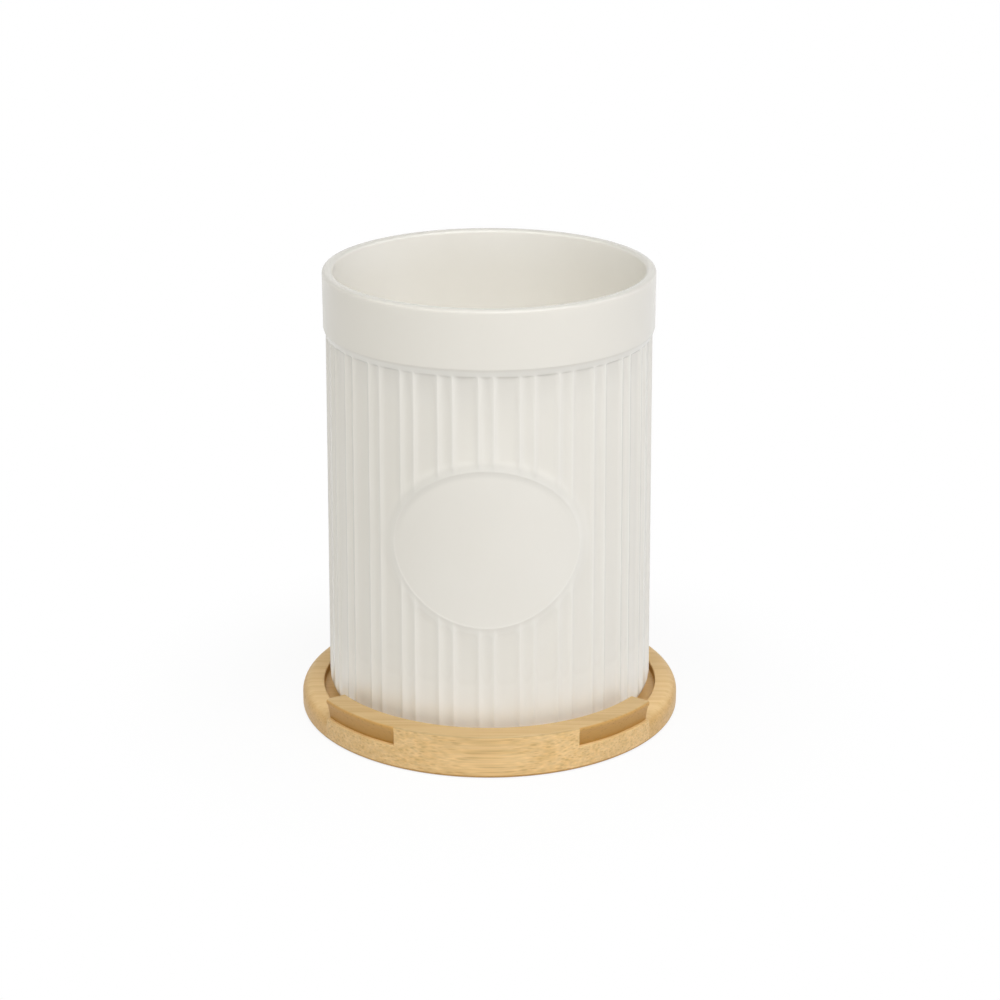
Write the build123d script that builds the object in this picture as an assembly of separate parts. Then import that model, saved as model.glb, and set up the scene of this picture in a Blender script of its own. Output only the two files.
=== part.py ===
from build123d import *
import math
import os

os.makedirs("parts", exist_ok=True)

# A fluted, glazed pot for kitchen utensils that stands loose in a round bamboo base.
# Millimetres and degrees. The origin is on the axis, on the surface the base stands on,
# +Z is up and the medallion faces -Y.

# Base board: the lower bamboo ply, with a shallow pocket for the pot.
board_thickness = 8.7
pocket_depth = 3.2
board_edge_rounding = 1.2
side_edge_rounding = 4.0

# Raised rims: the upper ply, left standing as one arc in front and one behind.
rim_width = 8.2
rim_height = 7.6
rim_half_angle = 56.3
rim_edge_rounding = 0.8

# Finger coves: undercut grooves on both sides of the flush middle block of each rim.
block_half_angle = 27.8
cove_depth = 1.4
cove_lip = 1.6
cove_belly = 0.62
cove_overrun_angle = 3.0

# Pot: heights from its own foot, and outer radii over the flute ridges.
pot_height = 163.3
foot_radius = 60.5
shoulder_radius = 59.1
foot_rounding = 8.0
seat_clearance = 2.3

# Collar: the plain band round the top, with a bevel under it.
collar_projection = 0.9
collar_height = 21.0
collar_bevel_height = 2.4
collar_step = 0.25
lip_thickness = 3.6
lip_rounding = 1.4

# Flutes: one narrow and one wide flute in each repeat, meeting at sharp ridges.
flute_repeats = 26
narrow_flute_share = 0.37
flute_depth = 0.75
wide_flute_shoulder = 2.1
shoulder_hollow = 0.78

# Medallion: a smooth oval wrapped on the front, with a raised bead round it.
medallion_half_width = 34.0
medallion_half_height = 30.4
medallion_centre_height = 76.7
medallion_rise = 0.3
bead_width = 1.9
bead_rise = 0.45
bead_rounding = 0.35

# Inside and underside of the pot.
foot_wall_thickness = 5.3
bottom_thickness = 5.0
inner_corner_radius = 9.0
foot_ring_width = 6.5
foot_recess_depth = 1.2

# Heights and radii that follow from the sizes above.
pocket_floor = board_thickness - pocket_depth
pocket_radius = foot_radius + seat_clearance
base_radius = pocket_radius + rim_width
rim_top = board_thickness + rim_height
pot_top = pocket_floor + pot_height
collar_corner = pot_top - collar_height
body_top = collar_corner - collar_bevel_height
collar_radius = shoulder_radius + collar_projection
lip_radius = collar_radius - lip_thickness
inner_floor = pocket_floor + bottom_thickness
medallion_centre = pocket_floor + medallion_centre_height
reach = 2 * base_radius


def ring_point(radius, angle, height):
    """Point at an angle in degrees from the front, measured towards +X."""
    turn = math.radians(angle)
    return Vector(radius * math.sin(turn), -radius * math.cos(turn), height)


def side_edge_cutter(middle_angle):
    """Revolved cutter that rounds the board's top edge between the ends of the two rims."""
    bend_radius = base_radius - side_edge_rounding
    bend_height = board_thickness - side_edge_rounding
    middle = side_edge_rounding * math.sqrt(0.5)
    outside = base_radius + side_edge_rounding
    bend = ThreePointArc(
        (bend_radius, board_thickness),
        (bend_radius + middle, bend_height + middle),
        (base_radius, bend_height))
    rest = Polyline(
        (base_radius, bend_height),
        (outside, bend_height),
        (outside, rim_top),
        (bend_radius, rim_top),
        (bend_radius, board_thickness))
    half_angle = 90 - rim_half_angle
    swept = revolve(Plane.XZ * make_face([bend, rest]), Axis.Z, 2 * half_angle)
    return Rot(0, 0, middle_angle - half_angle) * swept


def round_board():
    """Lower ply: a disc with its pocket, a rounded bottom edge and softer top edges at the sides."""
    disc = Cylinder(base_radius, board_thickness, align=(Align.CENTER, Align.CENTER, Align.MIN))
    bottom_edge = disc.edges().filter_by(GeomType.CIRCLE).sort_by(Axis.Z)[0]
    disc = fillet(bottom_edge, board_edge_rounding)
    pocket = Cylinder(pocket_radius, pocket_depth, align=(Align.CENTER, Align.CENTER, Align.MIN))
    board = disc - Pos(0, 0, pocket_floor) * pocket
    return board - side_edge_cutter(0) - side_edge_cutter(180)


def cove_cutter(start_angle, end_angle):
    """Revolved cutter of one finger cove, hollowed by an arc that deepens towards the board."""
    lip_z = rim_top - cove_lip
    drop = cove_belly * (lip_z - board_thickness)
    lip = (base_radius, lip_z)
    foot = (base_radius - cove_depth, board_thickness)
    middle = (base_radius - cove_belly * cove_depth, board_thickness + drop)
    outside = base_radius + cove_depth
    arc = ThreePointArc(lip, middle, foot)
    rest = Polyline(foot, (outside, board_thickness), (outside, lip_z), lip)
    section = Plane.XZ * make_face([arc, rest])
    swept = revolve(section, Axis.Z, end_angle - start_angle)
    return Rot(0, 0, start_angle - 90) * swept


def front_rim():
    """Upper ply in front: an arc with rounded top edges and a cove each side of the block."""
    with BuildSketch(Plane.XZ) as section:
        with Locations(((pocket_radius + base_radius) / 2, board_thickness + rim_height / 2)):
            Rectangle(base_radius - pocket_radius, rim_height)
        fillet(section.vertices().group_by(Axis.Z)[-1], rim_edge_rounding)
    arc = Rot(0, 0, -90 - rim_half_angle) * revolve(section.sketch, Axis.Z, 2 * rim_half_angle)
    past_end = rim_half_angle + cove_overrun_angle
    return arc - cove_cutter(block_half_angle, past_end) - cove_cutter(-past_end, -block_half_angle)


def body_radius(height):
    """Radius over the ridges at a height, along the straight draft of the body."""
    share = (height - pocket_floor) / (body_top - pocket_floor)
    return foot_radius + share * (shoulder_radius - foot_radius)


foot_ring_outer = body_radius(pocket_floor + foot_rounding) - foot_rounding


def fluted_outline(height):
    """Closed section through the flutes: a cove, then a wide flute with coved shoulders."""
    ridge = body_radius(height)
    valley = ridge - flute_depth
    repeat = 360.0 / flute_repeats
    narrow = narrow_flute_share * repeat
    wide = repeat - narrow
    shoulder = math.degrees(wide_flute_shoulder / ridge)
    bend = shoulder / 2
    low = ridge - shoulder_hollow * flute_depth
    edges = []
    for index in range(flute_repeats):
        start = index * repeat - narrow / 2
        cove_end = start + narrow
        flute_end = cove_end + wide
        edges.append(ThreePointArc(
            ring_point(ridge, start, height),
            ring_point(valley, start + narrow / 2, height),
            ring_point(ridge, cove_end, height)))
        edges.append(ThreePointArc(
            ring_point(ridge, cove_end, height),
            ring_point(low, cove_end + bend, height),
            ring_point(valley, cove_end + shoulder, height)))
        edges.append(ThreePointArc(
            ring_point(valley, cove_end + shoulder, height),
            ring_point(valley, cove_end + wide / 2, height),
            ring_point(valley, flute_end - shoulder, height)))
        edges.append(ThreePointArc(
            ring_point(valley, flute_end - shoulder, height),
            ring_point(low, flute_end - bend, height),
            ring_point(ridge, flute_end, height)))
    return Wire(edges)


def foot_envelope():
    """Round solid that curves the foot of the fluted body in to its ring."""
    bend_top = pocket_floor + foot_rounding
    bend_radius = body_radius(bend_top)
    middle = foot_rounding * (1 - math.sqrt(0.5))
    bend = ThreePointArc(
        (foot_ring_outer, pocket_floor),
        (bend_radius - middle, pocket_floor + middle),
        (bend_radius, bend_top))
    sides = Polyline(
        (bend_radius, bend_top),
        (reach, bend_top),
        (reach, pot_top),
        (0, pot_top),
        (0, pocket_floor),
        (foot_ring_outer, pocket_floor))
    return revolve(Plane.XZ * make_face([bend, sides]), Axis.Z)


def fluted_body():
    """Drafted body with all its flutes, from the foot to inside the collar."""
    body = loft([Face(fluted_outline(pocket_floor)), Face(fluted_outline(body_top))], ruled=True)
    return body & foot_envelope()


def collar():
    """Plain band with its bevel, solid inside until the bore is cut."""
    outline = Polyline(
        (0, body_top),
        (shoulder_radius + collar_step, body_top),
        (collar_radius, collar_corner),
        (collar_radius, pot_top),
        (0, pot_top),
        (0, body_top))
    return revolve(Plane.XZ * make_face(outline), Axis.Z)


def raised_cone(rise):
    """The body's drafted form without flutes, raised by a given height."""
    outline = Polyline(
        (0, pocket_floor),
        (body_radius(pocket_floor) + rise, pocket_floor),
        (body_radius(body_top) + rise, body_top),
        (0, body_top),
        (0, pocket_floor))
    return revolve(Plane.XZ * make_face(outline), Axis.Z)


def front_prism(half_width, half_height):
    """Oval prism that reaches from the axis out through the front of the body."""
    oval = Plane.XZ * Pos(0, medallion_centre) * Ellipse(half_width, half_height)
    return extrude(oval, reach / 2, dir=(0, -1, 0))


def medallion():
    """Smooth oval field with its bead, cut from raised copies of the body's form."""
    field = raised_cone(medallion_rise) & front_prism(
        medallion_half_width - bead_width / 2, medallion_half_height - bead_width / 2)
    band = front_prism(medallion_half_width, medallion_half_height) - front_prism(
        medallion_half_width - bead_width, medallion_half_height - bead_width)
    bead = raised_cone(medallion_rise + bead_rise) & band
    crest = bead.faces().sort_by(lambda face: face.center().Y)[0]
    bead = fillet(crest.edges(), bead_rounding)
    return field + bead


def bore_radius(height):
    """Radius of the smooth inside at a height, one straight cone from the foot to the lip."""
    foot_bore = foot_radius - foot_wall_thickness
    share = (height - pocket_floor) / pot_height
    return foot_bore + share * (lip_radius - foot_bore)


def bore():
    """Inside of the pot: a cone that widens to the lip, with a round corner at its floor."""
    bend_top = inner_floor + inner_corner_radius
    bend_radius = bore_radius(bend_top)
    middle = inner_corner_radius * (1 - math.sqrt(0.5))
    flat_radius = bend_radius - inner_corner_radius
    bend = ThreePointArc(
        (flat_radius, inner_floor),
        (bend_radius - middle, inner_floor + middle),
        (bend_radius, bend_top))
    sides = Polyline(
        (bend_radius, bend_top),
        (lip_radius, pot_top),
        (0, pot_top),
        (0, inner_floor),
        (flat_radius, inner_floor))
    return revolve(Plane.XZ * make_face([bend, sides]), Axis.Z)


def fluted_pot():
    """The whole fired pot as one solid."""
    recess_radius = foot_ring_outer - foot_ring_width
    recess = Cylinder(recess_radius, foot_recess_depth, align=(Align.CENTER, Align.CENTER, Align.MIN))
    pot = fluted_body() + medallion() + collar()
    pot = pot - bore() - Pos(0, 0, pocket_floor) * recess
    lip_edges = pot.edges().filter_by(GeomType.CIRCLE).group_by(Axis.Z)[-1]
    return fillet(lip_edges, lip_rounding)


front = front_rim()
nodes = {
    "fluted_pot": fluted_pot(),
    "base_board": round_board(),
    "front_rim": front,
    "rear_rim": Rot(0, 0, 180) * front,
}

for name, shape in nodes.items():
    export_step(shape, f"parts/{name}.step")
    box = shape.bounding_box()
    print(name, "volume", round(shape.volume), "z", round(box.min.Z, 2), "to", round(box.max.Z, 2))
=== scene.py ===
"""Looks of a fluted utensil holder: the glazed pot, its round bamboo base, the studio and the camera."""

import logging
import math
from collections.abc import Callable
from dataclasses import dataclass, field
from enum import Enum

import bmesh
import bpy
from mathutils import Matrix, Vector


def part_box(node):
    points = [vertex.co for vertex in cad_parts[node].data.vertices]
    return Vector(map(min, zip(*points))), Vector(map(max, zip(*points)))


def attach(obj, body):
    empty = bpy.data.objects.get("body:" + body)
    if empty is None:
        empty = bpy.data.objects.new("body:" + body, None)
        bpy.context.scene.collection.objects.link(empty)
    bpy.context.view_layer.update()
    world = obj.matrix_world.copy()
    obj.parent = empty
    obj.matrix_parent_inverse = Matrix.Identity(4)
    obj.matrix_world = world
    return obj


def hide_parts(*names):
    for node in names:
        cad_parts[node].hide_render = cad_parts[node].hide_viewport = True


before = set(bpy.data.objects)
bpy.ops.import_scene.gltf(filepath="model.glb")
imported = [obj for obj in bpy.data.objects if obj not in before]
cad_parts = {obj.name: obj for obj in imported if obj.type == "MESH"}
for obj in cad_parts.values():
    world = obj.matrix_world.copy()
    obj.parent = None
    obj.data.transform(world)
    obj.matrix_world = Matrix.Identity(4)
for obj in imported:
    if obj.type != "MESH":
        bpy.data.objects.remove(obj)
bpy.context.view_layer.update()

log = logging.getLogger("utensil_holder")

FULL_TURN = 2 * math.pi
FRONT = -math.pi / 2

# Heights or radii closer than SAME are one place, and points closer than MERGED become one point.
SAME = 1e-5
MERGED = 1e-6

# Edges that turn more than this stay crisp.
SHARP_ANGLE = math.radians(38)

Colour = tuple[float, float, float]
Span = tuple[float, float]
WHITE: Colour = (1.0, 1.0, 1.0)
WARM_WHITE: Colour = (1.0, 0.985, 0.910)


class Body(Enum):
    """The moving bodies of the holder."""

    POT = "pot"
    BASE = "base"


class Place(Enum):
    """Where a raised rim stands, as its turn about the vertical axis."""

    FRONT = 0.0
    REAR = math.pi


class Slot(Enum):
    """The material slots of the holder's record."""

    GLAZE = "glazed_stoneware"
    BOARD = "bamboo_board"
    RIM = "bamboo_rim"


def smooth_step(value: float) -> float:
    """Ease a share from 0 to 1, held outside that range."""
    held = min(max(value, 0.0), 1.0)
    return held * held * (3 - 2 * held)


def put_in_scene(name: str, data: bpy.types.ID) -> bpy.types.Object:
    """Make an object of its data and link it to the scene.

    Args:
        name: The object's name.
        data: Its mesh, lamp or camera data.

    Returns:
        The new object.
    """
    thing = bpy.data.objects.new(name, data)
    bpy.context.scene.collection.objects.link(thing)
    return thing


class Shader:
    """A material's node tree, with short ways to add and join nodes."""

    def __init__(self, name: str) -> None:
        """Start an empty material.

        Args:
            name: The material's name.
        """
        self.material = bpy.data.materials.new(name)
        self.material.use_nodes = True
        self.tree = self.material.node_tree
        self.tree.nodes.clear()

    def add(self, kind: str, **settings: object) -> bpy.types.Node:
        """Add a node.

        Args:
            kind: Blender's node type, without its ShaderNode prefix.
            **settings: Properties to set on the node.

        Returns:
            The new node.
        """
        node = self.tree.nodes.new("ShaderNode" + kind)
        for name, value in settings.items():
            setattr(node, name, value)
        return node

    def feed(self, socket: bpy.types.NodeSocket, source: object) -> None:
        """Give a socket its value.

        Args:
            socket: The socket that takes it.
            source: Another socket to link it to, or a plain number, vector or colour.
        """
        if isinstance(source, bpy.types.NodeSocket):
            self.tree.links.new(source, socket)
        else:
            socket.default_value = source

    def calculate(self, operation: str, *terms: object) -> bpy.types.NodeSocket:
        """Work out one step of arithmetic.

        Args:
            operation: The Math node's operation, such as MULTIPLY.
            *terms: Sockets or numbers.

        Returns:
            The socket that holds the result.
        """
        node = self.add("Math", operation=operation)
        for socket, term in zip(node.inputs, terms):
            self.feed(socket, term)
        return node.outputs[0]

    def spread(self, value: object, low: float, high: float, to_low: float,
               to_high: float) -> bpy.types.NodeSocket:
        """Map a range smoothly onto another.

        Args:
            value: The socket to map.
            low: Where the range starts.
            high: Where it ends.
            to_low: The result at the start.
            to_high: The result at the end.

        Returns:
            The socket that holds the result.
        """
        node = self.add("MapRange", interpolation_type="SMOOTHSTEP")
        for socket, term in zip(node.inputs, (value, low, high, to_low, to_high)):
            self.feed(socket, term)
        return node.outputs["Result"]

    def blend(self, share: object, first: object, second: object) -> bpy.types.NodeSocket:
        """Mix two colours.

        Args:
            share: How much of the second colour shows, as a socket or number.
            first: The first colour.
            second: The second colour.

        Returns:
            The socket that holds the mixed colour.
        """
        node = self.add("Mix", data_type="RGBA")
        self.feed(node.inputs["Factor"], share)
        self.feed(node.inputs["A"], rgba(first))
        self.feed(node.inputs["B"], rgba(second))
        return node.outputs["Result"]

    def place(self, scale: tuple[float, float, float] = (1, 1, 1)) -> bpy.types.NodeSocket:
        """Give the object's own coordinates.

        Args:
            scale: How much they are stretched on each axis.

        Returns:
            The socket that holds them.
        """
        mapping = self.add("Mapping")
        self.feed(mapping.inputs["Vector"], self.add("TexCoord").outputs["Object"])
        self.feed(mapping.inputs["Scale"], scale)
        return mapping.outputs["Vector"]

    def part(self, vector: object, axis: str) -> bpy.types.NodeSocket:
        """Take one part of a vector.

        Args:
            vector: The vector's socket.
            axis: X, Y or Z.

        Returns:
            The socket that holds the part.
        """
        node = self.add("SeparateXYZ")
        self.feed(node.inputs[0], vector)
        return node.outputs[axis]

    def noise(self, vector: object, scale: float, detail: float = 2.0,
              rough: float = 0.5) -> bpy.types.NodeSocket:
        """Sample smooth noise.

        Args:
            vector: Where to sample it.
            scale: Its frequency, per metre of the vector.
            detail: How many finer layers it has.
            rough: How strong the finer layers are.

        Returns:
            The socket that holds the noise, near 0.5 on average.
        """
        node = self.add("TexNoise", noise_dimensions="3D")
        self.feed(node.inputs["Vector"], vector)
        self.feed(node.inputs["Scale"], scale)
        self.feed(node.inputs["Detail"], detail)
        self.feed(node.inputs["Roughness"], rough)
        return node.outputs["Fac"]

    def attribute(self, name: str) -> bpy.types.NodeSocket:
        """Read a number that the mesh carries at its points."""
        return self.add("Attribute", attribute_type="GEOMETRY", attribute_name=name).outputs["Fac"]

    def bump(self, height: object, strength: float, distance: float) -> bpy.types.NodeSocket:
        """Turn a height into a disturbed surface normal.

        Args:
            height: The socket that holds the height.
            strength: How much of it shows.
            distance: How far the height reaches, in metres.

        Returns:
            The socket that holds the normal.
        """
        node = self.add("Bump")
        self.feed(node.inputs["Strength"], strength)
        self.feed(node.inputs["Distance"], distance)
        self.feed(node.inputs["Height"], height)
        return node.outputs["Normal"]

    def surface(self, **inputs: object) -> bpy.types.Material:
        """Close the tree with a Principled shader.

        Args:
            **inputs: Values for its sockets, with underscores for the spaces in their names.

        Returns:
            The finished material.
        """
        shader = self.add("BsdfPrincipled")
        for name, value in inputs.items():
            self.feed(shader.inputs[name.replace("_", " ")], value)
        output = self.add("OutputMaterial")
        self.feed(output.inputs["Surface"], shader.outputs["BSDF"])
        return self.material


def rgba(colour: object) -> object:
    """Give a plain colour its alpha, and leave a socket as it is."""
    return (*colour, 1.0) if isinstance(colour, tuple) and len(colour) == 3 else colour


@dataclass(frozen=True)
class StonewareGlaze:
    """Warm off-white gloss glaze that thins on the ridges and pools in the flutes.

    The mesh says how much glaze lies at each point, 1 where it pools and 0 on the ridges, and where light is
    painted on as a lighter tint, down to -1; and how much painted shade darkens the tint there.
    """

    tint: Colour = (0.880, 0.855, 0.800)
    thin_tint: Colour = (0.910, 0.888, 0.836)
    pooled_tint: Colour = (0.854, 0.825, 0.763)
    # Painted light: the lightest tint and its span, for the foot, the collar's bevel, the mouth and the
    # medallion's underside, where shade falls
    painted_light_tint: Colour = (0.960, 0.942, 0.898)
    # Painted shade: a grey tint that darkens the lip's top, the bead's inner edge and the slope above the
    # medallion
    painted_shade_tint: Colour = (0.575, 0.559, 0.519)
    painted_light_span: Span = (-1.0, 0.0)
    thin_span: Span = (0.0, 0.35)
    pooled_span: Span = (0.6, 1.0)
    pooled_share: float = 0.6
    blotch_scale: float = 22.0
    blotch_span: Span = (0.35, 0.75)
    blotch_share: float = 0.35
    roughness: float = 0.22
    roughness_span: Span = (0.3, 0.7)
    smoother: float = 0.03
    rougher: float = 0.05
    wave_scale: float = 90.0
    speck_scale: float = 1400.0
    speck_share: float = 0.04
    wave_strength: float = 0.12
    wave_depth: float = 0.0006

    def material(self) -> bpy.types.Material:
        """Build the glaze as nodes.

        Returns:
            The finished material.
        """
        shader = Shader("stoneware_glaze")
        at = shader.place()
        # Glaze pooling in the flutes, and painted light where the value is below 0
        pooled = shader.attribute("glaze_pool_and_painted_light")
        blotch = shader.noise(at, self.blotch_scale, 3.0)
        tint = self.painted_light_tint
        for source, span, share, next_tint in (
                (pooled, self.painted_light_span, 1.0, self.thin_tint),
                (pooled, self.thin_span, 1.0, self.tint),
                (pooled, self.pooled_span, self.pooled_share, self.pooled_tint),
                (blotch, self.blotch_span, self.blotch_share, self.pooled_tint)):
            tint = shader.blend(shader.spread(source, *span, 0.0, share), tint, next_tint)
        # Painted shade: darkens the tint on the lip and round the top of the medallion
        tint = shader.blend(shader.attribute("glaze_painted_shade"), tint, self.painted_shade_tint)
        gloss = shader.spread(
            blotch, *self.roughness_span, self.roughness - self.smoother, self.roughness + self.rougher)
        specks = shader.calculate("MULTIPLY", shader.noise(at, self.speck_scale), self.speck_share)
        height = shader.calculate("ADD", shader.noise(at, self.wave_scale, rough=0.4), specks)
        normal = shader.bump(height, self.wave_strength, self.wave_depth)
        return shader.surface(Base_Color=tint, Roughness=gloss, IOR=1.5, Normal=normal)


@dataclass(frozen=True)
class BareClay:
    """Unglazed, sanded clay on the ring that the pot stands on."""

    tint: Colour = (0.62, 0.56, 0.47)
    grit_tint: Colour = (0.48, 0.42, 0.34)
    grit_scale: float = 2600.0
    grit_span: Span = (0.5, 0.75)
    grit_strength: float = 0.4
    grit_depth: float = 0.0002
    roughness: float = 0.8

    def material(self) -> bpy.types.Material:
        """Build the clay as nodes.

        Returns:
            The finished material.
        """
        shader = Shader("bare_clay")
        grit = shader.noise(shader.place(), self.grit_scale, 4.0, 0.6)
        tint = shader.blend(shader.spread(grit, *self.grit_span, 0.0, 1.0), self.tint, self.grit_tint)
        normal = shader.bump(grit, self.grit_strength, self.grit_depth)
        return shader.surface(Base_Color=tint, Roughness=self.roughness, Normal=normal)


@dataclass(frozen=True)
class Bamboo:
    """Laminated bamboo with its fibres along X: long streaks on faces, dots on end grain.

    The mesh says how dark each point is, from 0 on a sanded face to 1 deep in a cove, as router-cut wood and
    painted shade.
    """

    name: str
    tint: Colour = (0.660, 0.440, 0.190)
    pale_tint: Colour = (0.735, 0.515, 0.250)
    fibre_tint: Colour = (0.400, 0.225, 0.070)
    # Router-cut wood and painted shade: the darker tint, and the deep tint where shade falls in the pocket,
    # at the bottom edge and low in the coves
    routed_and_shaded_tint: Colour = (0.610, 0.335, 0.085)
    painted_deep_shade_tint: Colour = (0.455, 0.228, 0.036)
    routed_and_shaded_span: Span = (0.0, 0.5)
    routed_and_shaded_share: float = 0.92
    routed_dots: float = 0.45
    painted_deep_shade_span: Span = (0.5, 1.0)
    # Painted light and shade: the wood's value on its sides and on its tops, set by how the lamps fall on
    # them
    painted_side_level: float = 1.19
    painted_top_level: float = 1.06
    painted_level_span: Span = (0.02, 0.45)
    face_span: Span = (0.35, 0.85)
    side_dots: float = 0.38
    top_dots: float = 0.16
    mottle_scale: float = 1300.0
    mottle_stretch: float = 0.05
    side_mottle: float = 0.45
    top_mottle: float = 0.05
    strip_width: float = 0.0172
    strip_offset: float = 0.0107
    strip_contrast: float = 0.08
    cloud_scale: float = 60.0
    cloud_stretch: float = 0.25
    cloud_contrast: float = 0.16
    streak_scale: float = 420.0
    streak_span: Span = (0.3, 0.7)
    streak_height: float = 0.3
    fibre_pitch: float = 0.00100
    fibre_stretch: float = 0.022
    bundle_span: Span = (0.12, 0.42)
    bundle_height: float = 0.5
    grain_strength: float = 0.18
    grain_depth: float = 0.00012
    roughness: float = 0.46
    rougher: float = 0.14

    def bundles(self, shader: Shader, along: bpy.types.NodeSocket) -> bpy.types.NodeSocket:
        """Find the fibre bundles, which show as dots on end grain and as lines elsewhere.

        Args:
            shader: The material's nodes.
            along: The place, shortened along the fibres.

        Returns:
            The socket that is 1 in the middle of a bundle and 0 between bundles.
        """
        cells = shader.add("TexVoronoi", voronoi_dimensions="3D", feature="F1")
        shader.feed(cells.inputs["Vector"], along)
        shader.feed(cells.inputs["Scale"], 1 / self.fibre_pitch)
        return shader.spread(cells.outputs["Distance"], *self.bundle_span, 1.0, 0.0)

    def lightness(self, shader: Shader, upward: bpy.types.NodeSocket) -> bpy.types.NodeSocket:
        """Work out how light the wood is, by strip, cloud and mottle, and, as painted light and shade, by how
        much it faces up.

        Args:
            shader: The material's nodes.
            upward: The upward part of the surface normal.

        Returns:
            The socket that holds the factor on the wood's value.
        """
        across = shader.calculate("ADD", shader.part(shader.place(), "Y"), self.strip_offset)
        strip = shader.calculate("FLOOR", shader.calculate("DIVIDE", across, self.strip_width))
        strip_tone = shader.add("TexWhiteNoise", noise_dimensions="1D")
        shader.feed(strip_tone.inputs["W"], strip)
        cloud = shader.noise(shader.place((self.cloud_stretch, 1.0, 1.0)), self.cloud_scale)
        mottle = shader.noise(shader.place((self.mottle_stretch, 1.0, 1.0)), self.mottle_scale, 1.0)
        mottle_contrast = shader.spread(upward, *self.face_span, self.side_mottle, self.top_mottle)
        tone = 1.0
        for source, contrast in (
                (strip_tone.outputs["Value"], self.strip_contrast),
                (cloud, self.cloud_contrast),
                (mottle, mottle_contrast)):
            swing = shader.calculate("MULTIPLY", shader.calculate("SUBTRACT", source, 0.5), contrast)
            tone = shader.calculate("ADD", tone, swing)
        # Painted light and shade: lighter or darker by how much the surface faces up
        level = shader.spread(upward, *self.painted_level_span, self.painted_side_level, self.painted_top_level)
        return shader.calculate("MULTIPLY", tone, level)

    def material(self) -> bpy.types.Material:
        """Build the bamboo as nodes.

        Returns:
            The finished material.
        """
        shader = Shader(self.name)
        along = shader.place((self.fibre_stretch, 1.0, 1.0))
        upward = shader.part(shader.add("TexCoord").outputs["Normal"], "Z")
        bundle = self.bundles(shader, along)
        streak = shader.noise(along, self.streak_scale, 3.0, 0.6)
        dots = shader.spread(upward, *self.face_span, self.side_dots, self.top_dots)
        sanded = shader.blend(
            shader.spread(streak, *self.streak_span, 0.0, 1.0), self.tint, self.pale_tint)
        sanded = shader.blend(shader.calculate("MULTIPLY", bundle, dots), sanded, self.fibre_tint)
        level = shader.add("HueSaturation")
        shader.feed(level.inputs["Color"], sanded)
        shader.feed(level.inputs["Value"], self.lightness(shader, upward))
        # Router-cut wood, and painted shade in recesses and under edges
        routed_and_shaded = shader.attribute("routed_and_shaded")
        burnt_and_shaded = shader.blend(
            shader.spread(routed_and_shaded, *self.painted_deep_shade_span, 0.0, 1.0), self.routed_and_shaded_tint, self.painted_deep_shade_tint)
        burnt_and_shaded = shader.blend(
            shader.calculate("MULTIPLY", bundle, self.routed_dots), burnt_and_shaded, self.fibre_tint)
        tint = shader.blend(
            shader.spread(routed_and_shaded, *self.routed_and_shaded_span, 0.0, self.routed_and_shaded_share), level.outputs["Color"], burnt_and_shaded)
        height = shader.calculate(
            "SUBTRACT", shader.calculate("MULTIPLY", streak, self.streak_height),
            shader.calculate("MULTIPLY", bundle, self.bundle_height))
        gloss = shader.spread(bundle, 0.0, 1.0, self.roughness, self.roughness + self.rougher)
        normal = shader.bump(height, self.grain_strength, self.grain_depth)
        return shader.surface(Base_Color=tint, Roughness=gloss, IOR=1.45, Normal=normal)


class Profile:
    """A half section in the XZ plane, drawn corner by corner and rounded where asked."""

    def __init__(self) -> None:
        """Start an empty section."""
        self.mesh = bmesh.new()
        self.last: bmesh.types.BMVert | None = None
        self.first: bmesh.types.BMVert | None = None
        self.rounded: list[tuple[bmesh.types.BMVert, float, int]] = []

    def corner(self, radius: float, height: float, rounding: float = 0.0, steps: int = 4,
               cuts: int = 0) -> "Profile":
        """Add a corner.

        Args:
            radius: Its distance from the axis.
            height: Its height.
            rounding: The radius that it is rounded to, or 0 to keep it sharp.
            steps: How many straight steps the rounding has.
            cuts: How many points divide the line that leads to it.

        Returns:
            The profile itself.
        """
        end = Vector((radius, 0.0, height))
        start = end if self.last is None else self.last.co.copy()
        for part in range(1, cuts + 2):
            point = self.mesh.verts.new(start.lerp(end, part / (cuts + 1)))
            if self.last is not None:
                self.mesh.edges.new((self.last, point))
            self.last = point
        self.first = self.first or self.last
        if rounding:
            self.rounded.append((self.last, rounding, steps))
        return self

    def close(self) -> "Profile":
        """Join the last corner to the first."""
        self.mesh.edges.new((self.last, self.first))
        return self

    def drawn(self) -> bmesh.types.BMesh:
        """Round the corners that ask for it.

        Returns:
            The finished section.
        """
        for point, rounding, steps in self.rounded:
            first, second = (edge.other_vert(point).co - point.co for edge in point.link_edges)
            half_turn = (math.pi - first.angle(second)) / 2
            bmesh.ops.bevel(
                self.mesh, geom=[point], offset=rounding * math.tan(half_turn), offset_type="OFFSET",
                segments=steps, profile=0.5, affect="VERTICES", material=-1)
        return self.mesh


def turned(section: bmesh.types.BMesh, start: float, sweep: float, steps: int) -> bmesh.types.BMesh:
    """Spin a section about the vertical axis.

    Args:
        section: The half section, in the XZ plane.
        start: The azimuth where the spin starts.
        sweep: How far it turns.
        steps: How many columns it makes.

    Returns:
        The same mesh, now a surface of revolution.
    """
    bmesh.ops.rotate(section, verts=section.verts, matrix=Matrix.Rotation(start, 3, "Z"))
    bmesh.ops.spin(
        section, geom=section.verts[:] + section.edges[:], axis=(0, 0, 1), cent=(0, 0, 0), dvec=(0, 0, 0),
        angle=sweep, steps=steps, use_merge=sweep >= FULL_TURN, use_normal_flip=False, use_duplicate=False)
    return section


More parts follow.
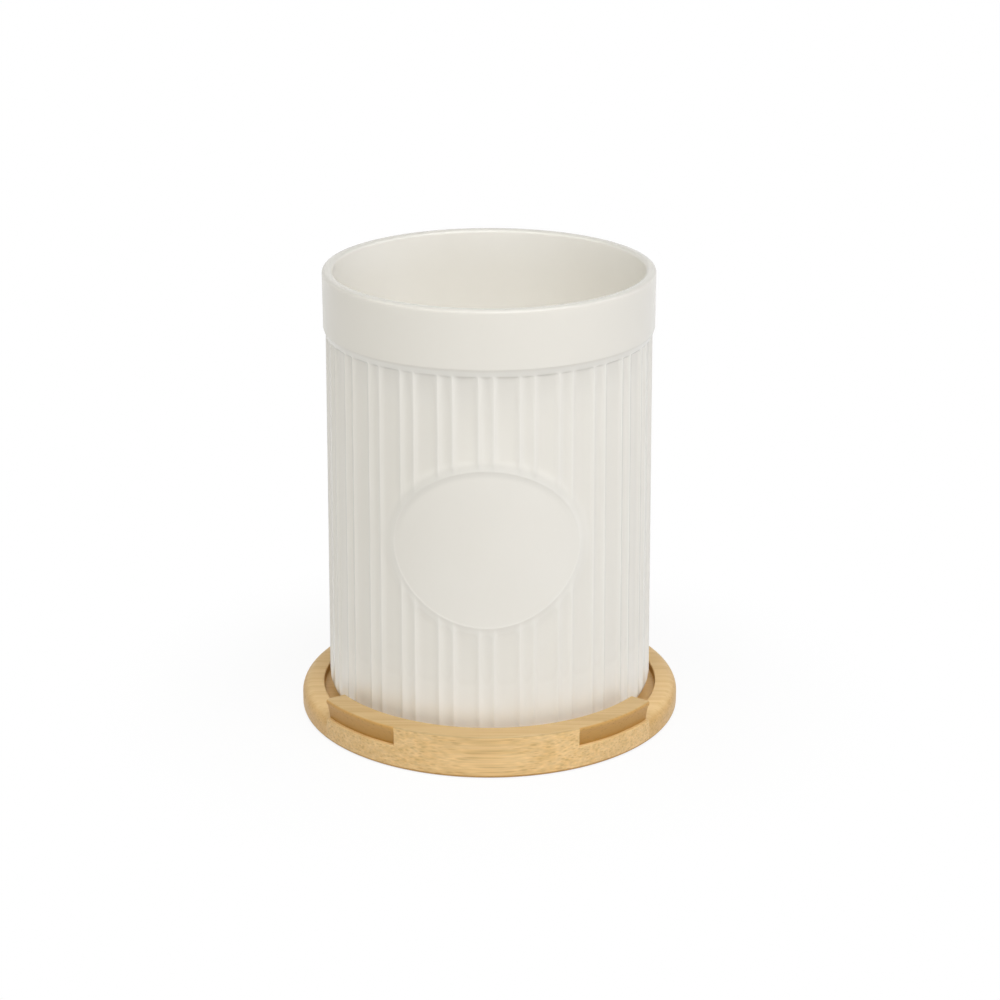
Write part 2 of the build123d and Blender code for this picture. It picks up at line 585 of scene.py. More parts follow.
def finished(mesh: bmesh.types.BMesh, name: str,
             materials: list[bpy.types.Material]) -> bpy.types.Object:
    """Turn a modelled mesh into a finished object at the origin.

    Args:
        mesh: The modelled mesh, which is freed.
        name: The object's name.
        materials: Its materials, in the order of its faces' material numbers.

    Returns:
        The new object.
    """
    bmesh.ops.remove_doubles(mesh, verts=mesh.verts, dist=MERGED)
    bmesh.ops.recalc_face_normals(mesh, faces=mesh.faces)
    for face in mesh.faces:
        face.smooth = True
    for edge in mesh.edges:
        edge.smooth = edge.is_manifold and edge.calc_face_angle(0.0) < SHARP_ANGLE
    data = bpy.data.meshes.new(name)
    mesh.to_mesh(data)
    mesh.free()
    for material in materials:
        data.materials.append(material)
    return put_in_scene(name, data)


def azimuth(point: Vector) -> float:
    """Angle of a point from the front of the holder, towards +X."""
    return math.atan2(point.x, -point.y)


def set_polar(point: bmesh.types.BMVert, angle: float, radius: float) -> None:
    """Move a point level to a new azimuth and radius."""
    point.co.x = radius * math.sin(angle)
    point.co.y = -radius * math.cos(angle)


@dataclass
class FlutedPot:
    """The fired pot: plain collar, fluted wall, oval medallion, round foot and smooth inside."""

    glaze: StonewareGlaze
    clay: BareClay
    foot_radius: float = 0.0605
    collar_radius: float = 0.0600

    # Flutes, and the columns of points that draw them
    flute_repeats: int = 26
    narrow_share: float = 0.37
    narrow_columns: int = 8
    wide_columns: int = 12
    column_crowding: float = 0.62
    flute_depth: float = 0.00075
    wide_shoulder: float = 0.0021
    ridge_softness: float = 0.00020

    # Collar and lip
    collar_height: float = 0.021
    collar_corner_rounding: float = 0.0005
    collar_row: float = 0.001
    collar_bevel_height: float = 0.0024
    collar_projection: float = 0.0009
    lip_thickness: float = 0.0036
    lip_rounding: float = 0.0014
    lip_steps: int = 7

    # Inside and foot
    foot_wall_thickness: float = 0.0053
    bottom_thickness: float = 0.005
    inner_corner: float = 0.009
    inner_steps: int = 6
    foot_rounding: float = 0.008
    foot_steps: int = 12
    foot_ring_width: float = 0.0065
    foot_ring_rounding: float = 0.0006
    foot_recess: float = 0.0012
    foot_recess_rounding: float = 0.0004
    clay_depth: float = 0.0004
    clay_share: float = 0.7

    # Medallion, its bead and the flutes that fade beside it
    medallion_half_width: float = 0.034
    medallion_half_height: float = 0.0304
    medallion_centre_height: float = 0.0767
    medallion_rise: float = 0.00018
    bead_width: float = 0.0019
    bead_rise: float = 0.00011
    bead_softness: float = 0.0006
    bead_crest: float = 0.25
    bead_reaches: Span = (1.1, 0.75)
    oval_core: float = 0.5
    flute_fade: float = 0.0058
    fade_start: float = 0.0017
    top_fade: float = 0.0010
    band_margin: float = 0.0025
    band_row: float = 0.0008

    # Margins that tell one surface from another
    wall_margin: float = 0.001
    bore_margin: float = 0.002
    bevel_margin: float = 0.0003

    # Where the glaze pools, and where light and shade are painted on its tint
    field_pool: float = 0.4
    # Painted light: how far the lighter tint reaches at the foot, on and under the collar's bevel, in the
    # mouth and under the medallion, where shade falls
    painted_light_foot_start: float = 0.005
    painted_light_foot_reach: float = 0.022
    painted_light_top_reach: float = 0.0026
    painted_light_mouth_depth: float = 0.022
    painted_light_underside: float = 0.3
    painted_light_reach: float = 1.2
    painted_light_bevel: float = 0.6
    # Painted shade: a dark line along the bead's inner edge, and darkening of the slope above the medallion,
    # which faces the lamps
    painted_line_shade: float = 0.24
    line_reach: float = 1.15
    painted_slope_shade: float = 0.32
    slope_start: float = 1.5
    slope_reach: float = 0.9
    full_height: float = 0.9
    shade_lean: float = 0.1

    # Worked out from the frame and the sizes above
    foot: float = field(init=False)
    top: float = field(init=False)
    bend_top: float = field(init=False)
    body_top: float = field(init=False)
    collar_corner: float = field(init=False)
    shoulder_radius: float = field(init=False)
    lip_radius: float = field(init=False)
    medallion_centre: float = field(init=False)

    def __post_init__(self) -> None:
        """Take the pot's height from the frame, and work out the places that follow from it."""
        low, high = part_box("fluted_pot")
        self.foot = low.z
        self.top = high.z
        self.shoulder_radius = self.collar_radius - self.collar_projection
        self.lip_radius = self.collar_radius - self.lip_thickness
        self.collar_corner = self.top - self.collar_height
        self.body_top = self.collar_corner - self.collar_bevel_height
        self.bend_top = self.foot + self.foot_rounding
        self.medallion_centre = self.foot + self.medallion_centre_height

    def ridge_radius(self, height: float) -> float:
        """Radius over the flute ridges at a height."""
        share = (height - self.foot) / (self.body_top - self.foot)
        return self.foot_radius + share * (self.shoulder_radius - self.foot_radius)

    def bore_radius(self, height: float) -> float:
        """Work out the smooth inside, one straight cone from the foot to the lip.

        Args:
            height: The height above the worktop.

        Returns:
            The radius of the inside.
        """
        foot_bore = self.foot_radius - self.foot_wall_thickness
        return foot_bore + (height - self.foot) / (self.top - self.foot) * (self.lip_radius - foot_bore)

    def section(self) -> bmesh.types.BMesh:
        """Draw the pot's half section, from the middle of its inside to the middle of its underside.

        Returns:
            The finished section.
        """
        inner_floor = self.foot + self.bottom_thickness
        recess = self.foot + self.foot_recess
        ring_outer = self.ridge_radius(self.bend_top) - self.foot_rounding
        ring_inner = ring_outer - self.foot_ring_width
        band_low = self.medallion_centre - self.medallion_half_height - self.band_margin
        band_high = self.medallion_centre + self.medallion_half_height + self.band_margin
        band_rows = round((band_high - band_low) / self.band_row)
        fade_low = self.body_top - self.top_fade
        profile = Profile()
        profile.corner(0.0, inner_floor)
        profile.corner(
            self.bore_radius(inner_floor), inner_floor, self.inner_corner, self.inner_steps, cuts=1)
        profile.corner(self.bore_radius(self.body_top), self.body_top, cuts=3)
        profile.corner(self.lip_radius, self.top, self.lip_rounding, self.lip_steps, cuts=2)
        profile.corner(self.collar_radius, self.top, self.lip_rounding, self.lip_steps)
        profile.corner(self.collar_radius, self.top - 2 * self.lip_rounding)
        profile.corner(self.collar_radius, self.collar_corner + self.collar_row, cuts=1)
        profile.corner(self.collar_radius, self.collar_corner, self.collar_corner_rounding)
        profile.corner(self.shoulder_radius, self.body_top, cuts=1)
        for height, cuts in ((fade_low, 4), (band_high, 1), (band_low, band_rows), (self.bend_top, 4)):
            profile.corner(self.ridge_radius(height), height, cuts=cuts)
        for step in range(1, self.foot_steps):
            turn = step / self.foot_steps * math.pi / 2
            profile.corner(
                ring_outer + self.foot_rounding * math.cos(turn),
                self.bend_top - self.foot_rounding * math.sin(turn))
        profile.corner(ring_outer, self.foot)
        profile.corner(ring_inner, self.foot, self.foot_ring_rounding, 3)
        profile.corner(ring_inner, recess, self.foot_recess_rounding, 2)
        profile.corner(0.0, recess, cuts=1)
        return profile.drawn()

    def column_angle(self, even: float) -> float:
        """Move an evenly spaced azimuth so that columns fall on the ridges and crowd beside them.

        Args:
            even: The azimuth that the spin gave.

        Returns:
            The azimuth of the column.
        """
        repeat = FULL_TURN / self.flute_repeats
        narrow = self.narrow_share * repeat
        columns = self.narrow_columns + self.wide_columns
        count = (even / repeat) * columns + self.narrow_columns / 2
        whole, place = divmod(count, columns)
        start = whole * repeat - narrow / 2
        if place <= self.narrow_columns:
            width, share = narrow, place / self.narrow_columns
        else:
            start += narrow
            width, share = repeat - narrow, (place - self.narrow_columns) / self.wide_columns
        crowded = share - self.column_crowding * math.sin(FULL_TURN * share) / FULL_TURN
        return start + width * crowded

    def flute_sink(self, angle: float, radius: float) -> float:
        """How deep the flutes cut in at an azimuth.

        Args:
            angle: The azimuth from the front.
            radius: The radius over the ridges.

        Returns:
            The depth below the ridges.
        """
        repeat = FULL_TURN / self.flute_repeats
        narrow = self.narrow_share * repeat
        place = (angle + narrow / 2) % repeat
        if place < narrow:
            beside = radius * min(place, narrow - place)
            reach = radius * narrow / 2
        else:
            beside = radius * min(place - narrow, repeat - place)
            reach = self.wide_shoulder
        beside = math.hypot(beside, self.ridge_softness) - self.ridge_softness
        return self.flute_depth * (1 - max(0.0, 1 - beside / reach) ** 2)

    def oval_distance(self, angle: float, height: float, radius: float) -> float:
        """Measure how far a place is from the medallion's outline.

        Args:
            angle: The azimuth from the front.
            height: The height above the worktop.
            radius: The radius over the ridges.

        Returns:
            The distance, negative inside the outline.
        """
        if abs(angle) > math.pi / 2:
            return self.medallion_half_width
        across = radius * math.sin(angle) / self.medallion_half_width
        up = (height - self.medallion_centre) / self.medallion_half_height
        size = math.hypot(across, up)
        if size < self.oval_core:
            return -self.medallion_half_height / 2
        slope = math.hypot(across / self.medallion_half_width, up / self.medallion_half_height) / size
        return (size - 1) / slope

    def relief(self, angle: float, height: float) -> tuple[float, float]:
        """Work out the outer wall's relief at a place.

        Args:
            angle: The azimuth from the front.
            height: The height above the worktop.

        Returns:
            The radius of the wall, and how much glaze pools there, from 0 to 1.
        """
        radius = self.ridge_radius(height)
        outside = self.oval_distance(angle, height, radius)
        sink = self.flute_sink(angle, radius) * smooth_step((outside + self.fade_start) / self.flute_fade)
        sink *= smooth_step((self.body_top - height) / self.top_fade)
        field_rise = self.medallion_rise * smooth_step(-outside / self.bead_width)
        across = self.over_bead(outside)
        fall = smooth_step((across - self.bead_crest) / (1 - self.bead_crest))
        bead = self.bead_rise * smooth_step(across / self.bead_crest) * (1 - fall)
        on_field = smooth_step(-outside / self.bead_width) * (1 - bead / self.bead_rise)
        pooled = max(sink / self.flute_depth, self.field_pool * on_field)
        return radius - sink + field_rise + bead, pooled

    def over_bead(self, outside: float) -> float:
        """Where a distance from the medallion's outline lies on its bead, from 0 inside to 1 outside."""
        return (outside + self.bead_width) / (self.bead_width + self.bead_softness)

    def round_slope(self, outside: float, reach: float) -> float:
        """How much a place lies on the slope round the medallion.

        Args:
            outside: The distance from the medallion's outline.
            reach: How far down the slope this goes, in half fades of the flutes.

        Returns:
            The share, from 0 off the slope to 1 on it.
        """
        started = smooth_step(self.slope_start * self.over_bead(outside))
        return started * smooth_step(reach - 2 * outside / self.flute_fade)

    def underside(self, angle: float, height: float) -> float:
        """How much a place lies on the slope under the medallion, where light is painted on.

        Args:
            angle: The azimuth from the front.
            height: The height above the worktop.

        Returns:
            The share, from 0 to 1.
        """
        outside = self.oval_distance(angle, height, self.ridge_radius(height))
        down = (self.medallion_centre - height) / self.medallion_half_height
        return smooth_step(down / self.full_height) * self.round_slope(outside, self.painted_light_reach)

    def medallion_painted_shade(self, angle: float, height: float) -> float:
        """How much painted shade darkens the bead's inner edge and the slope above the medallion.

        Args:
            angle: The azimuth from the front.
            height: The height above the worktop.

        Returns:
            The share of the painted shade.
        """
        radius = self.ridge_radius(height)
        outside = self.oval_distance(angle, height, radius)
        across = radius * math.sin(angle) / self.medallion_half_width
        up = (height - self.medallion_centre) / self.medallion_half_height
        upper = smooth_step((up - self.shade_lean * across) / self.full_height)
        line = smooth_step(self.line_reach - abs(outside + self.bead_width) / self.bead_width)
        slope = self.round_slope(outside, self.slope_reach)
        return upper * (self.painted_line_shade * line + self.painted_slope_shade * slope)

    def unpainted_share(self, angle: float, height: float) -> float:
        """Work out the painted light on the outer wall: the tint is lighter at the foot, under the collar and
        under the medallion.

        Args:
            angle: The azimuth from the front.
            height: The height above the worktop.

        Returns:
            The share of the usual coat.
        """
        whole = smooth_step((height - self.bend_top - self.painted_light_foot_start) / self.painted_light_foot_reach)
        whole *= 1 - self.painted_light_bevel * (1 - smooth_step((self.body_top - height) / self.painted_light_top_reach))
        return whole * (1 - self.painted_light_underside * self.underside(angle, height))

    def plain_pool_and_painted_light(self, radius: float, height: float) -> float:
        """Work out how much glaze pools on the plain parts, and where light is painted on.

        Args:
            radius: The distance from the axis.
            height: The height above the worktop.

        Returns:
            1 on the collar, less under it, and least in the mouth.
        """
        if radius > self.shoulder_radius - self.wall_margin:
            # Painted light: the bevel under the collar and the top of the mouth get a lighter tint, where
            # shade falls
            return 1.0 if height > self.collar_corner - self.bevel_margin else -self.painted_light_bevel
        return -smooth_step(1 - (self.top - height) / self.painted_light_mouth_depth)

    def inside(self, place: Vector) -> bool:
        """Whether a place is on the pot's inner surface."""
        above_floor = place.z > self.foot + self.bottom_thickness - SAME
        return above_floor and math.hypot(place.x, place.y) < self.foot_radius - self.bore_margin

    def press(self, point: bmesh.types.BMVert, pool_and_painted_light: bmesh.types.BMLayerItem,
              shade: bmesh.types.BMLayerItem) -> None:
        """Give a point its glaze, and press it into the flutes and the medallion where it is on the wall.

        Args:
            point: The point.
            pool_and_painted_light: The layer that says how much glaze pools, and where light is painted on
                below 0.
            shade: The layer that says how much painted shade darkens the tint.
        """
        height, radius, angle = point.co.z, math.hypot(point.co.x, point.co.y), azimuth(point.co)
        point[pool_and_painted_light] = self.plain_pool_and_painted_light(radius, height)
        # Painted shade: the lip's top faces the lamps above, and its tint is darkened towards the collar's
        # tone
        point[shade] = smooth_step((height - self.top + self.lip_rounding) / self.lip_rounding)
        outer_side = radius > self.ridge_radius(height) - self.wall_margin
        if outer_side and self.bend_top - SAME <= height < self.body_top - SAME:
            outer, pooled = self.relief(angle, height)
            whole = self.unpainted_share(angle, height)
            # The pooling, with painted light at the foot, under the collar and under the medallion
            point[pool_and_painted_light] = pooled * whole - (1 - whole)
            # Painted shade round the top of the medallion
            point[shade] = self.medallion_painted_shade(angle, height)
            set_polar(point, angle, outer)
        elif height < self.bend_top and radius > self.foot_radius - self.foot_rounding:
            # Painted light: the round foot gets the lightest tint, where the rim's shade falls
            point[pool_and_painted_light] = -1.0
            if height > self.foot + SAME and not self.inside(point.co):
                envelope = self.foot_radius - self.flute_sink(angle, self.foot_radius)
                set_polar(point, angle, min(radius, envelope))

    def model(self) -> bpy.types.Object:
        """Spin the section, refine the bead's ring and press flutes and medallion into the wall.

        Returns:
            The finished pot.
        """
        columns = self.flute_repeats * (self.narrow_columns + self.wide_columns)
        mesh = turned(self.section(), FRONT, FULL_TURN, columns)
        bmesh.ops.remove_doubles(mesh, verts=mesh.verts, dist=MERGED)
        for point in mesh.verts:
            radius = math.hypot(point.co.x, point.co.y)
            if radius > MERGED:
                set_polar(point, self.column_angle(azimuth(point.co)), radius)
        for reach in self.bead_reaches:
            self.refine_bead(mesh, reach)
        pool_and_painted_light = mesh.verts.layers.float.new("glaze_pool_and_painted_light")
        shade = mesh.verts.layers.float.new("glaze_painted_shade")
        for point in mesh.verts:
            self.press(point, pool_and_painted_light, shade)
        for face in mesh.faces:
            centre = face.calc_center_median()
            reach = math.hypot(centre.x, centre.y)
            on_ring = centre.z < self.foot + self.clay_depth and reach > self.foot_radius * self.clay_share
            face.material_index = 1 if on_ring else 0
        return finished(mesh, "glazed_pot", [self.glaze.material(), self.clay.material()])

    def refine_bead(self, mesh: bmesh.types.BMesh, reach: float) -> None:
        """Divide the faces round the medallion's bead.

        Args:
            mesh: The pot's mesh.
            reach: How far from the bead's middle faces are divided, in bead widths.
        """
        edges = set()
        for face in mesh.faces:
            centre = face.calc_center_median()
            height, radius = centre.z, math.hypot(centre.x, centre.y)
            inner_side = radius < self.ridge_radius(height) - self.wall_margin
            if centre.y > 0 or inner_side or height > self.body_top:
                continue
            outside = self.oval_distance(azimuth(centre), height, radius)
            if abs(outside + self.bead_width / 2) < reach * self.bead_width:
                edges.update(face.edges)
        bmesh.ops.subdivide_edges(mesh, edges=list(edges), cuts=1, use_grid_fill=True)

    def build(self) -> bpy.types.Object:
        """Model and dress the pot, and put it on its body.

        Returns:
            The pot.
        """
        pot = self.model()
        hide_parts("fluted_pot")
        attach(pot, Body.POT.value)
        return pot


@dataclass
class BambooBase:
    """The round base: a board with a pocket, and a raised rim in front and behind."""

    # Board and pocket
    pocket_depth: float = 0.0032
    board_edge: float = 0.0012
    pocket_corner: float = 0.0005
    pocket_edge: float = 0.0004
    # Painted shade: where the pocket's wall starts to darken below its edge, and how dark its wall and floor
    # are
    painted_shade_from: float = 0.0008
    wall_painted_shade: float = 0.9
    floor_painted_shade: float = 0.20
    # Painted shade, darker down the wide round side edge
    side_painted_shade: float = 0.23
    side_painted_shade_reach: float = 0.4
    ledge_edge: float = 0.0006
    side_edge: float = 0.0040
    board_columns: int = 360

    # Rims and finger coves
    rim_width: float = 0.0082
    # Painted shade: the rims' tops are darker, where the pot shades them
    rim_painted_top_level: float = 0.79
    rim_edge: float = 0.0008
    rim_half_angle: float = math.radians(56.3)
    block_half_angle: float = math.radians(27.8)
    cove_depth: float = 0.0014
    cove_lip: float = 0.0016
    cove_rows: int = 8
    # The coves' router-cut wood, with painted shade that deepens towards their foot
    cove_burn_and_shade: float = 0.5
    cove_burn_and_shade_start: float = 0.08
    end_edge: float = 0.0004
    end_columns: tuple[float, ...] = (0.1, 0.3, 0.6, 1.0)
    step_width: float = 0.0003
    rim_columns: int = 150

    # Taken from the frame
    radius: float = field(init=False)
    board_top: float = field(init=False)
    rim_top: float = field(init=False)
    pocket_radius: float = field(init=False)

    def __post_init__(self) -> None:
        """Take the base's own places from the frame."""
        _, board_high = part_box("base_board")
        self.radius = board_high.x
        self.board_top = board_high.z
        self.rim_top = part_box("front_rim")[1].z
        self.pocket_radius = self.radius - self.rim_width

    def board(self) -> bpy.types.Object:
        """Turn the lower ply, with its pocket.

        Returns:
            The finished board.
        """
        floor = self.board_top - self.pocket_depth
        profile = Profile()
        profile.corner(0.0, floor).corner(self.pocket_radius, floor, self.pocket_corner, 3, cuts=4)
        profile.corner(self.pocket_radius, self.board_top - self.painted_shade_from)
        profile.corner(self.pocket_radius, self.board_top, self.pocket_edge, 3)
        profile.corner(self.radius - self.side_edge, self.board_top)
        profile.corner(self.radius - self.ledge_edge, self.board_top, cuts=5)
        profile.corner(self.radius, self.board_top, cuts=2)
        profile.corner(self.radius, self.board_top - self.ledge_edge, cuts=2)
        profile.corner(self.radius, self.board_top - self.side_edge, cuts=5)
        profile.corner(self.radius, 0.0, self.board_edge, 6)
        profile.corner(0.0, 0.0, cuts=4)
        mesh = turned(profile.drawn(), FRONT, FULL_TURN, self.board_columns)
        routed_and_shaded = mesh.verts.layers.float.new("routed_and_shaded")
        for point in mesh.verts:
            point[routed_and_shaded] = self.board_painted_shade(math.hypot(point.co.x, point.co.y), point.co.z)
        self.soften_top_edge(mesh, routed_and_shaded)
        board = finished(mesh, "bamboo_board", [Bamboo("board_bamboo").material()])
        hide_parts("base_board")
        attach(board, Body.BASE.value)
        return board

    def board_painted_shade(self, radius: float, height: float) -> float:
        """Work out the painted shade on the board: at its bottom edge and in its pocket.

        Args:
            radius: The distance from the axis.
            height: The height above the worktop.

        Returns:
            The share, from 0 to 1.
        """
        # Painted shade at the bottom edge, where the board meets the floor, and on the pocket's wall and
        # floor
        if radius > self.pocket_radius + SAME:
            return smooth_step((self.board_edge - height) / (self.board_edge / 2))
        if radius > self.pocket_radius - SAME:
            return self.wall_painted_shade if height < self.board_top - self.pocket_edge - SAME else 0.0
        return self.floor_painted_shade if height > SAME else 0.0

    def add_columns(self, mesh: bmesh.types.BMesh, angles: list[float]) -> None:
        """Cut upright columns of points into a turned mesh.

        Args:
            mesh: The turned mesh.
            angles: The azimuths from the front where the columns go, on both sides.
        """
        for angle in angles:
            for side in (-1, 1):
                across = Vector((math.cos(angle), side * math.sin(angle), 0.0))
                bmesh.ops.bisect_plane(
                    mesh, geom=mesh.verts[:] + mesh.edges[:] + mesh.faces[:], dist=MERGED,
                    plane_co=(0, 0, 0), plane_no=across)

    def soften_top_edge(self, mesh: bmesh.types.BMesh, routed_and_shaded: bmesh.types.BMLayerItem) -> None:
        """Bend the board's top edge: wide at the sides, narrow under the coves, sharp under the blocks.

        Args:
            mesh: The board's mesh.
            routed_and_shaded: The layer that says how dark each point is, as router-cut wood and painted
                shade.
        """
        step = self.step_width / self.radius
        for end in (self.block_half_angle, self.rim_half_angle):
            self.add_columns(mesh, [end, end + step])
        for point in mesh.verts:
            angle = azimuth(point.co)
            radius = math.hypot(point.co.x, point.co.y)
            from_front = min(abs(angle), math.pi - abs(angle)) - step / 2
            if from_front < self.block_half_angle:
                continue
            rounding = self.side_edge if from_front > self.rim_half_angle else self.ledge_edge
            along = min(radius - self.radius, 0.0) - (point.co.z - self.board_top)
            on_top = radius > self.radius - rounding - MERGED
            if on_top and point.co.z > self.board_top - rounding - MERGED and abs(along) <= rounding:
                turn = (1 + along / rounding) * math.pi / 4
                set_polar(point, angle, self.radius - rounding * (1 - math.sin(turn)))
                point.co.z = self.board_top - rounding * (1 - math.cos(turn))
            # Painted shade: the wide round side darkens towards its foot
            if rounding == self.side_edge and radius > self.radius - rounding:
                down = (self.board_top - point.co.z) / rounding
                darkening = self.side_painted_shade * smooth_step(down / self.side_painted_shade_reach)
                point[routed_and_shaded] = max(point[routed_and_shaded], darkening)

    def rim_height(self) -> float:
        """Height of the rims over the board."""
        return self.rim_top - self.board_top

    def cove_in(self, height: float) -> float:
        """Work out how far the finger cove is hollowed out.

        Args:
            height: The height above the worktop.

        Returns:
            The depth behind the rim's outer face.
        """
        lip = self.rim_top - self.cove_lip
        share = min(max((lip - height) / (lip - self.board_top), 0.0), 1.0)
        return self.cove_depth * math.sqrt(share)

    def rim(self, place: Place) -> bpy.types.Object:
        """Turn one raised rim and hollow its finger coves.

        Args:
            place: Whether it is the front or the rear rim.

        Returns:
            The finished rim.
        """
        lip = self.rim_top - self.cove_lip
        profile = Profile()
        profile.corner(self.pocket_radius, self.board_top)
        profile.corner(self.pocket_radius, self.rim_top, self.rim_edge, 5, cuts=3)
        profile.corner(self.radius, self.rim_top, self.rim_edge, 5, cuts=3)
        profile.corner(self.radius, lip)
        profile.corner(self.radius, self.board_top, cuts=self.cove_rows)
        profile.close()
        mesh = turned(profile.drawn(), FRONT - self.rim_half_angle, 2 * self.rim_half_angle, self.rim_columns)
        self.hollow(mesh)
        ends = [edge for edge in mesh.edges if edge.is_boundary]
        bmesh.ops.holes_fill(mesh, edges=ends)
        bmesh.ops.rotate(mesh, verts=mesh.verts, matrix=Matrix.Rotation(place.value, 3, "Z"))
        name = place.name.lower() + "_rim"
        # The rims' tops get painted shade
        bamboo = Bamboo(name + "_bamboo", painted_top_level=self.rim_painted_top_level)
        rim = finished(mesh, "bamboo_" + name, [bamboo.material()])
        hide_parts(name)
        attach(rim, Body.BASE.value)
        return rim

    def hollow(self, mesh: bmesh.types.BMesh) -> None:
        """Hollow a rim's finger coves, round its ends and say how dark each point is: router-cut wood, with
        painted shade towards the coves' foot.

        Args:
            mesh: The rim's mesh, which still stands in front.
        """
        step = self.step_width / self.radius
        last = self.end_edge / self.radius
        self.add_columns(mesh, [self.block_half_angle, self.block_half_angle + step])
        self.add_columns(mesh, [self.rim_half_angle - share * last for share in self.end_columns])
        routed_and_shaded = mesh.verts.layers.float.new("routed_and_shaded")
        middle = self.pocket_radius + self.rim_width / 2
        for point in mesh.verts:
            radius = math.hypot(point.co.x, point.co.y)
            angle = azimuth(point.co)
            # Painted shade: the cove darkens towards its foot, under the overhang, over the darker router-cut
            # wood
            if abs(angle) > self.block_half_angle + step / 2 and radius > middle:
                below = (self.rim_top - point.co.z) / self.rim_height()
                darkening = self.cove_burn_and_shade + (1 - self.cove_burn_and_shade) * below
                point[routed_and_shaded] = smooth_step(below / self.cove_burn_and_shade_start) * darkening
                radius -= self.cove_in(point.co.z)
            near_end = max(0.0, 1 - (self.rim_half_angle - abs(angle)) / last)
            rounding = self.end_edge * (1 - math.sqrt(max(0.0, 1 - near_end ** 2)))
            set_polar(point, angle, radius + math.copysign(rounding, middle - radius))
            point.co.z -= rounding * max(0.0, (point.co.z - self.board_top) / self.rim_height())

    def build(self) -> list[bpy.types.Object]:
        """Build the board and both rims, and give them as a list."""
        return [self.board(), self.rim(Place.FRONT), self.rim(Place.REAR)]


@dataclass(frozen=True)
class SoftLamp:
    """A square soft lamp that faces the holder's middle, given by where it hangs and its power in watts."""

    name: str
    azimuth: float
    elevation: float
    level: float
    tint: Colour = WHITE
    width: float = 0.55
    away: float = 1.2

    def build(self, aim: Vector) -> bpy.types.Object:
        """Hang the lamp.

        Args:
            aim: The point that it faces.

        Returns:
            The lamp.
        """
        data = bpy.data.lights.new(self.name, "AREA")
        data.shape = "SQUARE"
        data.size = self.width
        data.energy = self.level
        data.color = self.tint
        lamp = put_in_scene(self.name, data)
        level_way = Vector((math.sin(self.azimuth), -math.cos(self.azimuth), 0.0))
        way = level_way * math.cos(self.elevation) + Vector((0.0, 0.0, math.sin(self.elevation)))
        lamp.location = aim + way * self.away
        lamp.rotation_euler = (-way).to_track_quat("-Z", "Y").to_euler()
        return lamp


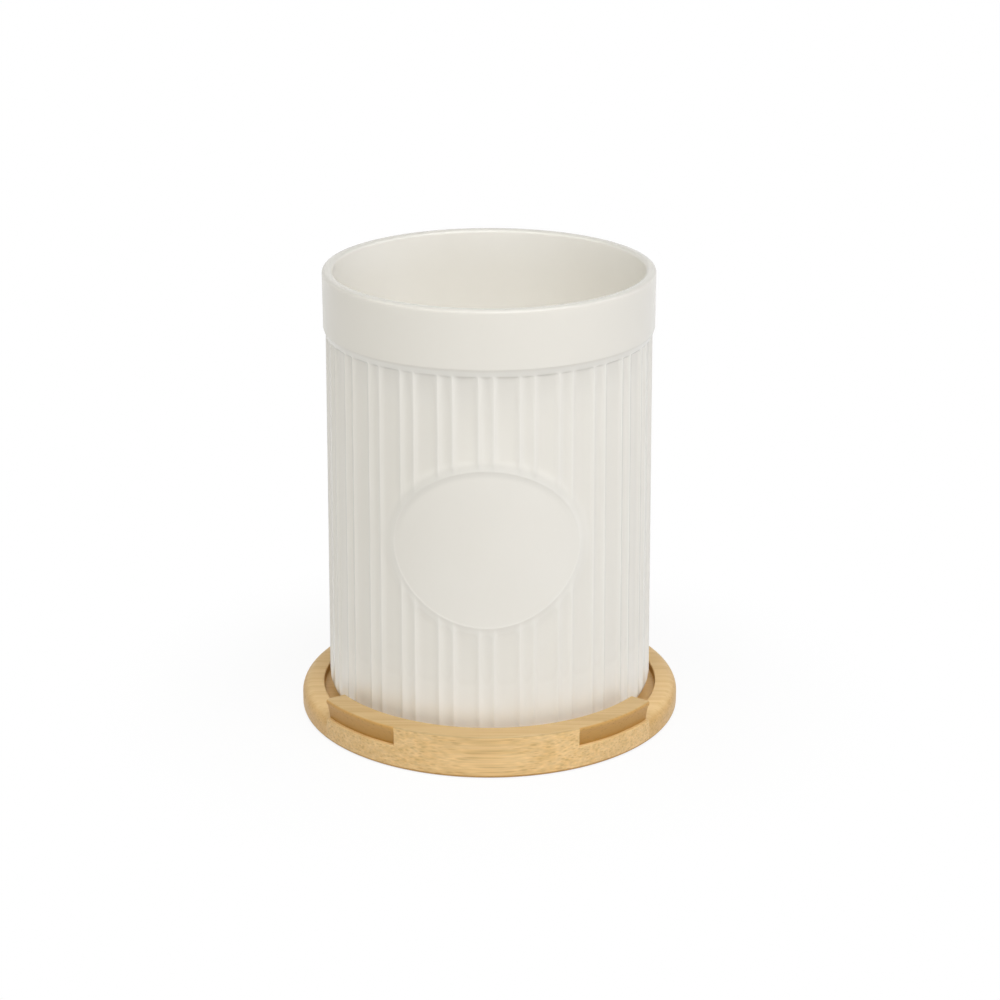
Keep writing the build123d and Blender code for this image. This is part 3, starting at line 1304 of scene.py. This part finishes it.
@dataclass
class Studio:
    """Plain white room: a pale floor, soft lamps and a world that shows white behind."""

    lamps: tuple[SoftLamp, ...] = (
        SoftLamp("front_lamp", math.radians(10), math.radians(50), 4.1),
        SoftLamp("right_lamp", math.radians(50), math.radians(50), 4.9),
        SoftLamp("front_left_lamp", math.radians(-35), math.radians(50), 3.1, WARM_WHITE),
        SoftLamp("left_lamp", math.radians(-90), math.radians(50), 2.4, WARM_WHITE),
        SoftLamp("side_lamp", math.radians(95), math.radians(37), 1.6),
        SoftLamp("top_lamp", 0.0, math.radians(80), 2.2),
    )
    aim_height: float = 0.09
    floor_half_size: float = 6.0
    floor_tint: Colour = (0.80, 0.80, 0.80)
    contact_white_share: float = 0.30
    contact_reach: float = 0.0715
    contact_width: float = 0.003
    floor_white_share: float = 0.92
    shadow_reach: float = 0.075
    white_reach: float = 0.160
    world_level: float = 0.10
    world_tint: Colour = WHITE

    def plain_rays(self, tree: bpy.types.NodeTree) -> bpy.types.NodeSocket:
        """Find the rays that show the background: seen directly, mirrored or through glass.

        Args:
            tree: The node tree that asks.

        Returns:
            The socket that is 1 for such a ray.
        """
        path = tree.nodes.new("ShaderNodeLightPath")
        shown = path.outputs["Is Camera Ray"]
        for name in ("Is Glossy Ray", "Is Transmission Ray"):
            either = tree.nodes.new("ShaderNodeMath")
            either.operation = "MAXIMUM"
            tree.links.new(shown, either.inputs[0])
            tree.links.new(path.outputs[name], either.inputs[1])
            shown = either.outputs[0]
        return shown

    def paper(self) -> bpy.types.Material:
        """Build the floor's paper as nodes: shaded near the holder, and white further out.

        Returns:
            The finished material.
        """
        shader = Shader("floor_paper")
        paper = shader.add("BsdfDiffuse")
        shader.feed(paper.inputs["Color"], rgba(self.floor_tint))
        white = shader.add("Emission")
        away = shader.add("VectorMath", operation="LENGTH")
        shader.feed(away.inputs[0], shader.place())
        contact = shader.spread(
            away.outputs["Value"], self.contact_reach - self.contact_width, self.contact_reach,
            self.contact_white_share, 1.0)
        share = shader.calculate("MULTIPLY", contact, shader.spread(
            away.outputs["Value"], self.shadow_reach, self.white_reach, self.floor_white_share, 1.0))
        mix = shader.add("MixShader")
        shader.feed(mix.inputs["Fac"], shader.calculate("MULTIPLY", self.plain_rays(shader.tree), share))
        shader.feed(mix.inputs[1], paper.outputs[0])
        shader.feed(mix.inputs[2], white.outputs[0])
        shader.feed(shader.add("OutputMaterial").inputs["Surface"], mix.outputs[0])
        return shader.material

    def floor(self) -> bpy.types.Object:
        """Lay the floor, which keeps the holder's shadow.

        Returns:
            The floor.
        """
        mesh = bmesh.new()
        bmesh.ops.create_grid(mesh, x_segments=2, y_segments=2, size=self.floor_half_size)
        data = bpy.data.meshes.new("floor")
        mesh.to_mesh(data)
        mesh.free()
        data.materials.append(self.paper())
        floor = put_in_scene("floor", data)
        return floor

    def world(self) -> None:
        """Fill the room with soft light and show it white."""
        world = bpy.data.worlds.new("studio")
        bpy.context.scene.world = world
        world.use_nodes = True
        tree = world.node_tree
        tree.nodes.clear()
        fill = tree.nodes.new("ShaderNodeBackground")
        fill.inputs["Color"].default_value = rgba(self.world_tint)
        fill.inputs["Strength"].default_value = self.world_level
        white = tree.nodes.new("ShaderNodeBackground")
        white.inputs["Color"].default_value = rgba(WHITE)
        mix = tree.nodes.new("ShaderNodeMixShader")
        output = tree.nodes.new("ShaderNodeOutputWorld")
        tree.links.new(self.plain_rays(tree), mix.inputs["Fac"])
        tree.links.new(fill.outputs[0], mix.inputs[1])
        tree.links.new(white.outputs[0], mix.inputs[2])
        tree.links.new(mix.outputs[0], output.inputs["Surface"])

    def build(self) -> list[bpy.types.Object]:
        """Set up the world, the floor and the lamps.

        Returns:
            The floor and the lamps.
        """
        self.world()
        aim = Vector((0.0, 0.0, self.aim_height))
        return [self.floor()] + [lamp.build(aim) for lamp in self.lamps]


@dataclass
class Viewpoint:
    """The camera, where the photograph was taken from."""

    place: Vector = field(default_factory=lambda: Vector((0.01585, -0.8540, 0.38657)))
    pitch: float = 0.345
    turn: float = math.radians(0.8)
    lens: float = 88.0
    sensor: float = 36.0
    farthest: float = 20.0

    def build(self) -> bpy.types.Object:
        """Create the camera and make it the scene's.

        Returns:
            The camera.
        """
        data = bpy.data.cameras.new("camera")
        data.lens = self.lens
        data.sensor_width = self.sensor
        data.clip_end = self.farthest
        camera = put_in_scene("camera", data)
        camera.location = self.place
        camera.rotation_euler = (math.pi / 2 - self.pitch, 0.0, self.turn)
        bpy.context.scene.camera = camera
        return camera


def report(pieces: list[bpy.types.Object]) -> None:
    """Log each piece's name and how many faces it has.

    Args:
        pieces: The pieces, and the lamps of the studio.
    """
    for piece in pieces:
        faces = len(piece.data.polygons) if piece.type == "MESH" else 0
        log.info("%s: %d faces", piece.name, faces)


def main() -> None:
    """Build the camera, the holder and the studio, in that order."""
    logging.basicConfig(level=logging.INFO, format="%(name)s: %(message)s")
    Viewpoint().build()
    builders: list[Callable[[], list[bpy.types.Object]]] = [
        lambda: [FlutedPot(StonewareGlaze(), BareClay()).build()],
        BambooBase().build,
        Studio().build,
    ]
    for build in builders:
        report(build())
    bpy.context.scene.view_settings.view_transform = "Standard"


if __name__ == "__main__":
    main()
